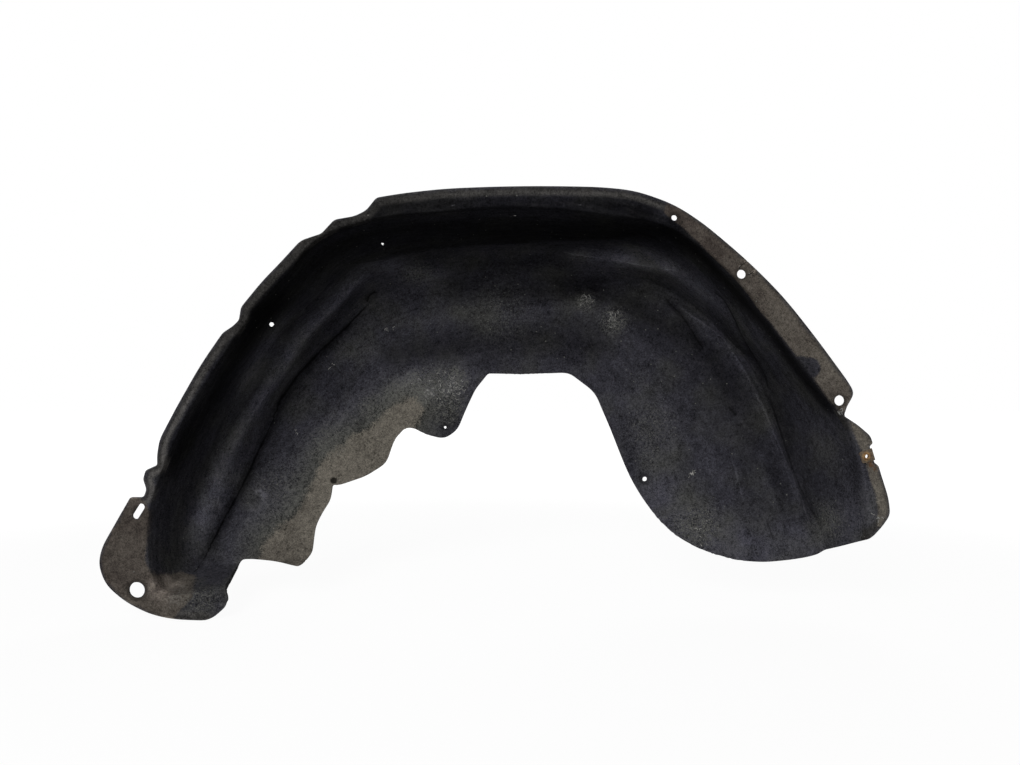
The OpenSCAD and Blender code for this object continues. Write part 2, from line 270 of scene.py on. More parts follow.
felt = {
    "sharpAngle": 36,
    "quadTurn": 25,
    "quadSkew": 70,
    "refineRounds": 4,
    # longest edges left on the wheel side, on the rear, at a crease, at a crisp border, at a ring
    "longestEdge": 7.0,
    "rearEdge": 30.0,
    "creaseEdge": 2.6,
    "borderEdge": 2.8,
    "ringEdge": 2.4,
    # where those short edges lie: in half widths of a crease and as a share of one, then in mm
    # from a crease's line, from a border, outside a ring and behind the flange's face
    "creaseReach": 2,
    "creaseShare": 0.55,
    "lineShadeReach": 5,
    "borderReach": 4,
    "ringReach": 3,
    "ringDepth": 2,
    "ringBand": (2, -1),  # the ring's shade comes in between these distances from its radius
    "waveHeight": 1.2,
    "waveLength": 75.0,
    "smallestMove": 0.02,
    "moveBand": (4, 26),  # behind the flange's face, from where moves begin to where they are full
    "lineShadeBand": (4.5, 9),  # a line's painted shade is full up to the first and gone at the second
    # share of a line over which its press, its painted line or its border comes in and goes out
    "pressEnds": 0.12,
    "lineShadeEnds": 0.05,
    "borderEnds": 0.1,
    "patchFall": 1.2,
    "turnedAway": (-0.15, 0.05),  # a face's slant to the wheel at which the plain rear gives way
    # the flange's trimmed edge: its corner angle, how near the flange's face, where it counts
    "rimAngle": 50,
    "rimReach": 0.6,
    "rimBand": 12,
    "farLineShade": 50.0,
    "farDust": -200.0,
    "farRim": 60.0,
    "sweepRadius": 0.4,
    "sheen": 0.006,
    "sheenSpread": 0.5,
    "gloss": 0.01,
    "roughness": 0.96,
    "bump": (0.7, 0.0014),
    "stripTone": [(-110, 1.0), (-85, 2.3), (-68, 2.3), (-55, 1.4), (-45, 1.0), (-20, 0.85), (-8, 1.3),
                  (20, 1.6), (30, 1.2), (110, 1.0)],  # by degrees from the top of the arch
}

# creases pressed into the felt, as X, Y and Z: a positive depth is a valley, a negative one a ridge;
# half is half its width, tone is painted shade in a valley (under 1) and painted light on a ridge (over
# 1), and the number after it is how strongly a thin line of painted shade (under 0, of painted
# highlight) runs along it
creaseLines = [
    {"name": "valley beside the right fold", "half": 6.0, "depth": 3.4, "tone": 0.6, "ink": 0.68,
     "line": [(651, 83, 339), (664, 83, 324), (678, 89, 302), (693, 100, 280), (710, 115, 256),
              (724, 119, 230), (729, 118, 218)]},
    {"name": "groove down the right leg", "half": 4.5, "depth": 1.6, "tone": 0.7, "ink": 0.42,
     "line": [(729, 118, 218), (742, 104, 162), (753, 91, 115), (768, 77, 77), (777, 66, 52)]},
    {"name": "long ridge of the right leg", "half": 7.0, "depth": -2.8, "tone": 1.55, "ink": -0.6,
     "line": [(623, 163, 330), (640, 152, 313), (661, 145, 296), (677, 138, 280), (688, 126, 261),
              (698, 120, 244), (706, 115, 227), (717, 109, 202), (736, 96, 147), (753, 84, 100),
              (764, 71, 63)]},
    {"name": "valley inside the long ridge", "half": 5.0, "depth": 2.8, "tone": 0.56, "ink": 0.6,
     "line": [(610, 169, 338), (617, 163, 330), (627, 156, 317), (637, 149, 299), (646, 144, 282),
              (654, 138, 268)]},
    {"name": "ridge under the top right", "half": 14.0, "depth": -3.0, "tone": 2.3, "ink": -0.4,
     "line": [(474, 154, 396), (525, 155, 389), (570, 152, 381), (598, 137, 374), (618, 110, 366)]},
    {"name": "short valley, right wall", "half": 4.0, "depth": 1.4, "tone": 0.7, "ink": 0.5,
     "line": [(679, 121, 199), (689, 117, 188)]},
    {"name": "short ridge, right wall", "half": 4.0, "depth": -1.2, "tone": 1.25, "ink": -0.5,
     "line": [(681, 108, 138), (686, 102, 115), (692, 94, 85)]},
    {"name": "short valley, right foot", "half": 4.0, "depth": 1.2, "tone": 0.8, "ink": 0.5,
     "line": [(716, 79, 62), (722, 71, 42)]},
    {"name": "sharp crease, top left", "half": 4.5, "depth": 2.6, "tone": 0.7, "ink": 1.0,
     "line": [(158, 118, 317), (175, 118, 334), (193, 117, 351)]},
    {"name": "broad ridge of the left barrel", "half": 16.0, "depth": -5.0, "tone": 2.9, "ink": -0.25,
     "line": [(240, 150, 378), (213, 160, 358), (178, 160, 322), (142, 163, 286), (121, 162, 255),
              (90, 156, 204), (60, 134, 144), (46, 113, 88), (36, 88, 48), (32, 70, 24)]},
    {"name": "groove of the left barrel", "half": 5.0, "depth": 2.6, "tone": 0.5, "ink": 0.95,
     "line": [(229, 199, 337), (193, 199, 300), (160, 199, 269), (134, 197, 240), (110, 194, 205),
              (88, 172, 144), (73, 144, 97), (62, 124, 68), (54, 109, 45), (46, 93, 22), (41, 75, 10),
              (38, 60, 1)]},
    {"name": "hook at the groove's top", "half": 5.0, "depth": 2.6, "tone": 0.55, "ink": 0.9,
     "line": [(222, 198, 334), (226, 196, 342), (236, 194, 348)]},
    {"name": "fold beside the left ridge", "half": 5.0, "depth": 1.6, "tone": 0.7, "ink": 0.45,
     "line": [(66, 128, 172), (84, 140, 205), (97, 146, 234), (105, 146, 256)]},
    {"name": "crumpled crease under the grey patch", "half": 3.5, "depth": 1.4, "tone": 0.7, "ink": 0.8,
     "line": [(261, 190, 352), (276, 193, 345), (296, 194, 343), (322, 195, 346)]},
]

# tone strokes, as X, Y and Z: under 1 mostly painted shade on the barrel, in its folds and hollows and
# at the foot of the flange, over 1 greyer felt and paler bands; one with a side lies only on that side
# of its line, and soft is half the width of its border there
paintedShadeAndDustStrokes = [
    # painted shade where the light misses the top of the barrel
    {"name": "painted shade on the barrel top", "half": 54, "tone": 0.22,
     "line": [(145, 31, 322), (173, 27, 353), (214, 52, 386), (261, 48, 401), (329, 58, 408),
              (399, 76, 411), (481, 68, 409), (560, 43, 402)]},
    # more painted shade on the barrel top, on one side of this border
    {"name": "border of the painted shade on the barrel top", "half": 44, "tone": 0.46, "side": 1, "soft": 8.0,
     "line": [(199, 97, 367), (215, 125, 373), (241, 141, 380), (273, 139, 389), (323, 134, 395),
              (373, 134, 400), (423, 133, 402), (472, 121, 403), (520, 104, 401), (563, 66, 400),
              (590, 50, 393), (619, 54, 373), (651, 64, 342), (676, 51, 312), (702, 38, 279)]},
    {"name": "shade under the barrel top", "half": 24, "tone": 0.62,
     "line": [(310, 160, 384), (358, 172, 379), (424, 178, 377), (480, 170, 378)]},
    # painted shade above the left ridge
    {"name": "painted shade above the left ridge", "half": 26, "tone": 0.74, "side": 1, "soft": 4.0,
     "line": [(128, 126, 280), (140, 125, 295), (155, 122, 315), (178, 120, 338), (205, 125, 362),
              (230, 122, 380)]},
    {"name": "shade under the left ridge", "half": 14, "tone": 0.6,
     "line": [(209, 178, 343), (187, 176, 318), (161, 182, 290), (140, 184, 264)]},
    # painted shade on the left of the barrel
    {"name": "painted shade on the left of the barrel", "half": 33, "tone": 0.17,
     "line": [(38, 25, 150), (54, 37, 183), (70, 46, 214), (100, 37, 263), (130, 28, 305)]},
    # painted shade on the dark side of the left band
    {"name": "dark side of the left band", "half": 34, "tone": 0.78, "side": 1, "soft": 3.0,
     "line": [(24, 53, 14), (26, 81, 46), (33, 99, 90), (43, 111, 128), (57, 115, 170),
              (74, 110, 209), (94, 91, 246)]},
    {"name": "shade right of the groove", "half": 13, "tone": 0.72, "side": -1, "soft": 2.0,
     "line": [(41, 75, 10), (54, 109, 45), (73, 144, 97), (88, 172, 144), (110, 194, 205),
              (134, 197, 240), (160, 199, 269), (193, 199, 300)]},
    # painted shade in the fold on the right, beside the barrel
    {"name": "painted shade inside the right fold", "half": 15, "tone": 0.17,
     "line": [(591, 12, 396), (614, 18, 381), (646, 27, 353), (674, 24, 320), (696, 12, 290),
              (720, 17, 259), (742, 18, 231), (760, 16, 205)]},
    # painted shade at the foot of the top flange, next to the fold
    {"name": "painted shade at the foot of the top flange", "half": 11, "tone": 0.3,
     "line": [(54, 0, 226), (74, 0, 255), (98, 0, 288), (127, 0, 324), (160, 0, 357), (199, 3, 388),
              (237, 0, 409), (279, 0, 421), (334, 0, 425), (400, 0, 426), (466, 0, 426),
              (521, 0, 424), (560, 0, 415)]},
    {"name": "grey middle of the left barrel", "half": 22, "tone": 1.95,
     "line": [(133, 90, 298), (111, 100, 268), (88, 111, 234)]},
    # a darker stretch over the axle gap
    {"name": "darker felt over the axle gap", "half": 55, "tone": 0.84,
     "line": [(330, 195, 300), (398, 194, 306), (480, 191, 300)]},
    {"name": "pale arc over the axle gap", "half": 11, "tone": 1.18,
     "line": [(220, 194, 267), (266, 194, 299), (332, 194, 316), (398, 194, 321), (463, 193, 326),
              (515, 188, 326), (546, 181, 312), (578, 169, 277), (602, 158, 251)]},
    {"name": "darker arc below it", "half": 20, "tone": 0.54,
     "line": [(259, 195, 265), (332, 195, 276), (398, 194, 282), (463, 193, 284), (518, 188, 276)]},
    {"name": "dark stripe above it", "half": 14, "tone": 0.5,
     "line": [(330, 192, 352), (400, 194, 350), (470, 196, 352), (520, 194, 350)]},
    {"name": "grey patch, top left", "half": 19, "tone": 1.7,
     "line": [(238, 139, 379), (260, 163, 377), (287, 179, 372), (319, 187, 367)]},
    # painted shade in the hollow at the top right
    {"name": "painted shade in the hollow, top right", "half": 14, "tone": 0.55,
     "line": [(477, 198, 358), (529, 194, 352), (563, 176, 330), (602, 162, 306), (638, 147, 286),
              (662, 133, 256), (688, 120, 213)]},
    {"name": "grey shoulder, top right", "half": 26, "tone": 2.6,
     "line": [(560, 132, 391), (582, 113, 388), (606, 109, 375), (632, 115, 345), (648, 108, 320)]},
    # a darker stretch on the right wall
    {"name": "darker right wall", "half": 55, "tone": 0.62,
     "line": [(590, 167, 321), (649, 140, 267), (693, 117, 207), (726, 94, 147), (747, 83, 100)]},
    {"name": "darker band outside the long ridge", "half": 20, "tone": 0.66,
     "line": [(665, 118, 318), (698, 121, 260), (716, 116, 226), (737, 108, 195), (752, 97, 160)]},
    {"name": "dusty lower right border", "half": 34, "tone": 1.6,
     "line": [(591, 132, 88), (628, 97, 44), (683, 77, 31), (739, 65, 37), (782, 55, 57),
              (801, 9, 78)]},
    {"name": "grey start of the arc, left", "half": 22, "tone": 1.15,
     "line": [(125, 182, 242), (174, 197, 269), (229, 195, 268)]},
    {"name": "grey right side of the barrel", "half": 24, "tone": 0.98,
     "line": [(718, 75, 249), (754, 76, 190), (772, 59, 150), (785, 46, 116), (792, 34, 78)]},
    {"name": "faint upright streak, right wall", "half": 5, "tone": 1.35,
     "line": [(647, 129, 169), (652, 122, 145), (658, 114, 121)]},
    {"name": "second upright streak, right wall", "half": 6, "tone": 1.3,
     "line": [(601, 152, 206), (608, 145, 175), (613, 137, 144)]},
    {"name": "third upright streak, right wall", "half": 5, "tone": 1.3,
     "line": [(713, 98, 141), (719, 90, 112), (724, 82, 84)]},
    {"name": "greyer foot", "half": 24, "tone": 0.84,
     "line": [(72, 12, 2), (69, 3, -6), (64, 2, -20)]},
    {"name": "dark lobe", "half": 17, "tone": 0.6,
     "line": [(324, 199, 200), (330, 199, 178)]},
    {"name": "grey lobe", "half": 27, "tone": 1.7,
     "line": [(292, 196, 224), (313, 197, 221), (340, 197, 229)]},
    {"name": "grey felt beside the worn stretch", "half": 24, "tone": 1.3,
     "line": [(118, 128, 72), (138, 159, 112), (152, 176, 138), (175, 188, 166), (201, 192, 190),
              (240, 194, 212), (273, 196, 225)]},
    {"name": "pale rim of the pressed spot", "half": 5, "tone": 2.4,
     "line": [(94, 139, 92), (98, 140, 93), (101, 139, 88)]},
]

# dusty, worn stretches in the front view: outline, tone along X from 0 for brown to 1 for pale beige,
# how far back they reach and how ragged their border is
dustZones = [
    {"tone": [(-60, 0.2), (15, 0.22), (40, 0.36), (60, 0.38)], "deep": 60, "ragged": 0.12,
     "loop": [(-54, 132), (-10, 107), (8, 98), (14, 86), (12, 71), (11, 58), (10, 46), (9, 32),
              (13, 23), (18, 15), (24, 9), (32, 7), (41, 5), (52, 0), (61, -4), (61, -8), (54, -16),
              (44, -26), (37, -40), (-18, -44), (-62, -11)]},
    {"tone": [(110, 0.8), (170, 0.92), (215, 1.1)], "deep": 400, "ragged": 0.7,
     "loop": [(108, 9), (111, 34), (125, 48), (141, 61), (148, 71), (153, 84), (160, 104),
              (166, 125), (184, 142), (208, 160), (224, 167), (240, 183), (256, 197), (273, 208),
              (287, 208), (297, 192), (291, 174), (266, 153), (254, 114), (213, 55), (173, 3)]},
    {"tone": [(585, -0.1), (640, 0.05), (672, 0.22), (700, 0.42), (760, 0.5), (790, 0.62)],
     "deep": 5, "ragged": 0.06,
     "loop": [(585, 436), (580, 415), (601, 399), (628, 373), (650, 349), (674, 321), (698, 294),
              (723, 262), (748, 229), (756, 218), (764, 207), (776, 195), (796, 204), (820, 231),
              (664, 430)]},
    {"tone": [(780, 0.55), (815, 0.75), (850, 0.8)], "deep": 30, "ragged": 0.12,
     "loop": [(780, 194), (786, 183), (794, 161), (800, 149), (807, 121), (814, 103), (815.5, 84),
              (815, 70), (834, 62), (850, 121), (828, 176), (796, 198)]},
]

# clean round patches inside those stretches: X, Z and radius
cleanPatches = [(741, 244.5, 11.5), (731, 249, 9.0)]

# pale curly specks in the felt: X, Y, Z, radius and strength
speckPatches = [
    (313, 197, 221, 26, 1.0), (340, 197, 232, 17, 0.8), (288, 196, 228, 18, 0.8),
    (326, 199, 198, 26, 0.7),
    (176, 184, 151, 26, 0.6), (230, 193, 195, 22, 0.5), (259, 195, 216, 18, 0.6),
    (545, 181, 308, 20, 0.6), (510, 191, 333, 14, 0.7), (68, 4, -10, 26, 0.45),
    (636, 98, 54, 30, 0.7), (587, 147, 137, 26, 0.3),
    (590, 150, 170, 45, 0.3), (575, 157, 230, 30, 0.2), (585, 139, 384, 26, 0.45),
    (290, 180, 372, 26, 0.4), (398, 194, 321, 60, 0.25), (782, 54, 69, 30, 0.4),
    (120, 150, 95, 45, 0.3), (600, 110, 360, 30, 0.35),
]

# rust, dark stains and pale scuffs: X, Z, radius and strength; the dark patches beside the holes are
# painted shade, the others stains
rustPatches = [(809, 139, 5.0, 0.9), (813, 133, 3.5, 0.6), (806, 151, 4.0, 0.7), (797, 150, 4.0, 0.5),
               (805, 145, 9.0, 0.35)]
darkStainsAndHoleShade = [(185, 103, 4.0, 1.0), (223, 114, 2.5, 0.35), (652, 367, 5, 0.3), (657, 360, 4, 0.3),
               (648, 372, 4, 0.25), (-30, 40, 9, 0.3), (27, 2, 8, 0.25), (599, 404, 5, 0.32),
               (773, 200, 3, 0.4), (816, 176, 4, 0.5), (824, 165, 4, 0.35), (826, 96, 5, 0.3)]
palePatches = [(42, -9, 12, 0.5), (38, -22, 7, 0.4), (774, 195, 2.0, 1.0), (815, 80, 2.2, 1.0),
               (-38, 12, 12, 0.3), (-12, 92, 10, 0.25)]

# steep bits of the worn stretches that the light misses, painted paler there as painted light: X, Y, Z,
# radius, strength
thickDust = [(20, 4, 5, 9, 1.0), (25, 6, -3, 9, 1.0), (26, 26, 4, 10, 1.0), (33, 30, 2, 9, 0.6)]

# painted shade in rings round the holes: X, Z and radius
ringMarks = [(0, 0, 11.5), (2, 86.6, 6.5), (591.5, 409.7, 6.5), (665.4, 347.7, 6.8),
             (773.3, 208.5, 7.2), (580, 107, 7.0), (325.2, 169.2, 4.0)]
# edges this near to a hole (X, Z and radius) don't count as the flange's trimmed edge
flangeHoles = [(0, 0, 13), (2, 86.6, 14), (591.5, 409.7, 8), (665.4, 347.7, 13), (773.3, 208.5, 8),
               (802.6, 147.2, 8), (488, 427, 13), (347.4, 426.2, 14)]


def frontFaces(mesh):
    # faces that look towards the wheel
    eye = Vector([value * mm for value in wheelEye])
    return [face for face in mesh.faces if face.normal.dot(eye - face.calc_center_median()) > 0]


def sharpEdges(mesh, angle):
    return [e for e in mesh.edges if e.is_manifold and e.calc_face_angle(0) > math.radians(angle)]


def smoothSheet(piece):
    # quads and a rounded surface, with the cut edges kept sharp
    editAll(piece, (bpy.ops.mesh.tris_convert_to_quads, {
        "face_threshold": math.radians(felt["quadTurn"]),
        "shape_threshold": math.radians(felt["quadSkew"])}))
    sheet = bmesh.new()
    sheet.from_mesh(piece.data)
    layers = sheet.edges.layers.float
    crease = layers.get("crease_edge") or layers.new("crease_edge")
    for edge in sharpEdges(sheet, felt["sharpAngle"]):
        edge[crease] = 1.0
    sheet.to_mesh(piece.data)
    sheet.free()
    applyModifier(piece, "SUBSURF", {"levels": 1, "render_levels": 1})


def refineSheet(piece):
    # more faces on the wheel side, most of them where a crease or a ring will be
    for _ in range(felt["refineRounds"]):
        sheet = bmesh.new()
        sheet.from_mesh(piece.data)
        sheet.normal_update()
        front = set(frontFaces(sheet))
        middles = np.array([((e.verts[0].co + e.verts[1].co) / 2)[:] for e in sheet.edges]) / mm
        lengths = np.array([e.calc_length() for e in sheet.edges]) / mm
        seen = np.array([any(f in front for f in e.link_faces) for e in sheet.edges])
        limit = np.where(seen, felt["longestEdge"], felt["rearEdge"])
        for crease in creaseLines:
            gap = lineDistance(middles, crease["line"])[0] - lengths / 2
            near = gap < crease["half"] * felt["creaseReach"]
            shortest = max(felt["creaseEdge"], crease["half"] * felt["creaseShare"])
            limit[near] = np.minimum(limit[near], shortest)
            limit[gap < felt["lineShadeReach"]] = felt["creaseEdge"]
        for stroke in paintedShadeAndDustStrokes:
            if "side" in stroke:
                gap = lineDistance(middles, stroke["line"])[0] - lengths / 2
                limit[gap < felt["borderReach"]] = felt["borderEdge"]
        for x, z, size in ringMarks:
            gap = np.hypot(middles[:, 0] - x, middles[:, 2] - z) - lengths / 2
            near = (gap < size + felt["ringReach"]) & (middles[:, 1] < felt["ringDepth"])
            limit[near] = felt["ringEdge"]
        edges = [e for e, take in zip(sheet.edges, lengths > limit) if take]
        if edges:
            bmesh.ops.subdivide_edges(sheet, edges=edges, cuts=1, use_grid_fill=True)
            bmesh.ops.triangulate(sheet, faces=[f for f in sheet.faces if len(f.verts) > 4])
        sheet.to_mesh(piece.data)
        sheet.free()


def pressCreases(piece):
    # moves the creases into the sheet and works out the tone of every place, mostly painted shade and
    # painted light
    sheet = bmesh.new()
    sheet.from_mesh(piece.data)
    sheet.normal_update()
    corners = [v.co.copy() for v in sheet.verts]
    tree = BVHTree.FromPolygons(corners, [[v.index for v in face.verts] for face in frontFaces(sheet)])
    places = np.array([c[:] for c in corners]) / mm
    move = np.zeros(len(places))
    tone = np.zeros(len(places))
    inkSide = np.full(len(places), felt["farLineShade"])
    lineShadeGap = inkSide.copy()
    ink = np.zeros(len(places))
    lineShadeFull, lineShadeGone = felt["lineShadeBand"]
    for crease in creaseLines:
        gap, share, side = lineDistance(places, crease["line"])
        press = np.exp(-(gap / crease["half"]) ** 2) * endFade(share, felt["pressEnds"])
        move += crease["depth"] * press
        # a valley darkens as painted shade and a ridge pales as painted light
        tone += math.log(crease["tone"]) * press
        closer = gap < lineShadeGap
        lineShadeGap[closer] = gap[closer]
        inkSide[closer] = (gap * side)[closer]
        # a thin line of painted shade along the crease, of painted highlight where its number is under
        # 0
        line = crease["ink"] * endFade(share, felt["lineShadeEnds"]) * smoothStep(lineShadeGone, lineShadeFull, gap)
        ink[closer] = line[closer]
    for stroke in paintedShadeAndDustStrokes:
        gap, share, side = lineDistance(places, stroke["line"])
        reach = np.exp(-(gap / stroke["half"]) ** 2)
        if "side" in stroke:
            reach *= smoothStep(-stroke["soft"], stroke["soft"], gap * side * stroke["side"])
            reach *= endFade(share, felt["borderEnds"])
        # the strokes darken as painted shade and pale as painted light and dust
        tone += math.log(stroke["tone"]) * reach
    for index, place in enumerate(places):
        wave = noise.noise(Vector(place) / felt["waveLength"], noise_basis="PERLIN_ORIGINAL")
        move[index] += wave * felt["waveHeight"]
    move *= smoothStep(*felt["moveBand"], places[:, 1])
    for vertex in sheet.verts:
        if abs(move[vertex.index]) < felt["smallestMove"]:
            continue
        normal = tree.find_nearest(corners[vertex.index])[1]
        vertex.co = corners[vertex.index] - normal * (move[vertex.index] * mm)
    sheet.to_mesh(piece.data)
    sheet.free()
    writeNumbers(piece, "inkSide", inkSide)
    writeNumbers(piece, "ink", ink)
    return tone


def spread(places, patches):
    # how strongly round patches (place, radius, strength) cover each place, from 0 to 1
    cover = np.zeros(len(places))
    for patch in patches:
        middle, radius, strength = np.array(patch[:-2]), patch[-2], patch[-1]
        gap = np.linalg.norm(places - middle, axis=1)
        cover = np.maximum(cover, strength * np.exp(-(gap / radius) ** 2 * felt["patchFall"]))
    return cover


def markZones(piece, tone):
    # writes on each vertex what the felt's look needs to know of its place
    places = vertexPlaces(piece)
    flat = places[:, [0, 2]]
    normals = np.empty(len(places) * 3)
    piece.data.vertices.foreach_get("normal", normals)
    toEye = np.array(wheelEye) - places
    facing = (toEye * normals.reshape(-1, 3)).sum(1) / np.linalg.norm(toEye, axis=1)
    back = 1 - smoothStep(*felt["turnedAway"], facing)
    edge = np.full(len(places), felt["farDust"])
    shade = np.zeros(len(places))
    ragged = np.zeros(len(places))
    for zone in dustZones:
        gap = lineDistance(flat, zone["loop"] + zone["loop"][:1])[0]
        gap = np.where(insideLoop(flat, zone["loop"]), gap, -gap)
        gap = np.minimum(gap, zone["deep"] - places[:, 1])
        nearer = gap > edge
        shade[nearer] = np.interp(flat[nearer, 0], *zip(*zone["tone"]))
        ragged[nearer] = zone["ragged"]
        edge = np.maximum(edge, gap)
    for x, z, radius in cleanPatches:
        edge = np.minimum(edge, np.hypot(flat[:, 0] - x, flat[:, 1] - z) - radius)
    ring = np.zeros(len(places))
    outer, inner = felt["ringBand"]
    for x, z, size in ringMarks:
        gap = np.hypot(flat[:, 0] - x, flat[:, 1] - z)
        ring = np.maximum(ring, smoothStep(size + outer, size + inner, gap))
    # distance from the trimmed edge of the flange, without the edges of its holes
    sheet = bmesh.new()
    sheet.from_mesh(piece.data)
    rim = np.array([v.co[:] for e in sharpEdges(sheet, felt["rimAngle"]) for v in e.verts
                    if abs(v.co.y) < felt["rimReach"] * mm])[:, [0, 2]] / mm
    sheet.free()
    for x, z, size in flangeHoles:
        rim = rim[np.hypot(rim[:, 0] - x, rim[:, 1] - z) > size]
    rimDistance = np.full(len(places), felt["farRim"])
    for index in np.flatnonzero(places[:, 1] < felt["rimBand"]):
        rimDistance[index] = np.sqrt(((rim - flat[index]) ** 2).sum(1).min())
    # the strip along the flange's edge is palest at the lower left
    across, up = (flat - wheelAxis).T
    turn = np.degrees(np.arctan2(across, up))
    strip = np.interp(turn, *zip(*felt["stripTone"]))
    # places unrolled round the wheel's axis, for streaks that run along the arch
    sweep = np.stack([np.radians(turn) * felt["sweepRadius"], np.hypot(across, up) * mm,
                      places[:, 1] * mm], axis=1)
    layer = piece.data.attributes.new("sweepPlace", "FLOAT_VECTOR", "POINT")
    layer.data.foreach_set("vector", sweep.astype(np.float32).ravel())
    # the tone of the creases and strokes, mostly painted shade and painted light, is not put on the
    # rear
    marks = {
        "dustEdge": edge, "dustTone": shade, "dustRagged": ragged, "backSide": back,
        "cleanTone": np.exp(tone * (1 - back)), "rimDistance": rimDistance, "stripTone": strip,
        "ringShade": ring, "specks": spread(places, speckPatches),
        "rustStain": spread(flat, rustPatches), "darkStain": spread(flat, darkStainsAndHoleShade),
        "paleStain": spread(flat, palePatches), "thickDust": spread(places, thickDust)}
    for name, values in marks.items():
        writeNumbers(piece, name, values)


# grains of the felt: turn in degrees, then scale, detail, roughness and distortion
feltGrains = {
    "fine": ((0, 0, 0), 900, 2, 0.65, 0.0),
    "clump": ((25, 40, 15), 380, 3, 0.6, 0.8),
    "mottle": ((0, 0, 0), 110, 3, 0.6, 0.0),
    "broad": ((0, 0, 0), 20, 2, 0.5, 0.0),
    "strand": ((50, 10, 30), 250, 2, 0.5, 1.4),
    "curl": ((10, 60, 80), 200, 2, 0.6, 2.2),
}
# streaks along the arch: scale along, outwards and inboard, then detail, roughness and distortion
feltStreaks = {"brush": ((32, 210, 210), 3, 0.6, 0.3), "sweep": ((9, 55, 55), 3, 0.55, 0.6)}
# how strongly a stain's patches count, how ragged and how soft its border is
feltStains = {"rustStain": (2.0, 4, 0.5), "darkStain": (2.2, 4, 0.5), "paleStain": (2.0, 5, 0.8)}
feltColours = {
    "clean": (0.0328, 0.0323, 0.0402, 1),
    "grey": (0.0369, 0.0370, 0.0338, 1),
    "strip": (0.0300, 0.0285, 0.0272),
    "brownDust": (0.0495, 0.0405, 0.0350, 1),
    "paleDust": (0.128, 0.116, 0.097, 1),
    "scuff": (0.105, 0.098, 0.088, 1),
    "rust": (0.105, 0.048, 0.018, 1),
    "lint": (0.15, 0.15, 0.135, 1),
}
# how much of the colour under it each layer covers or takes away
feltCover = {"strip": 0.9, "dust": 0.94, "scuff": 0.55, "rust": 0.75, "lint": 0.7, "curls": 0.85,
             "stainAndShade": 0.85, "ink": 0.85, "ring": 0.42, "grey": 0.7}
# mm from the flange's edge: where the strip ends, where it takes its own tone, the painted highlight
# along the cut edge
edgeBands = {"strip": (12.5, 7.0), "tone": (3.0, 6.5), "lipHighlight": (2.4, 0.2)}
# lint lies in the middle of the cells with the highest numbers
lint = {"scale": 330, "middle": (0.34, 0.16), "picked": (0.985, 0.995)}


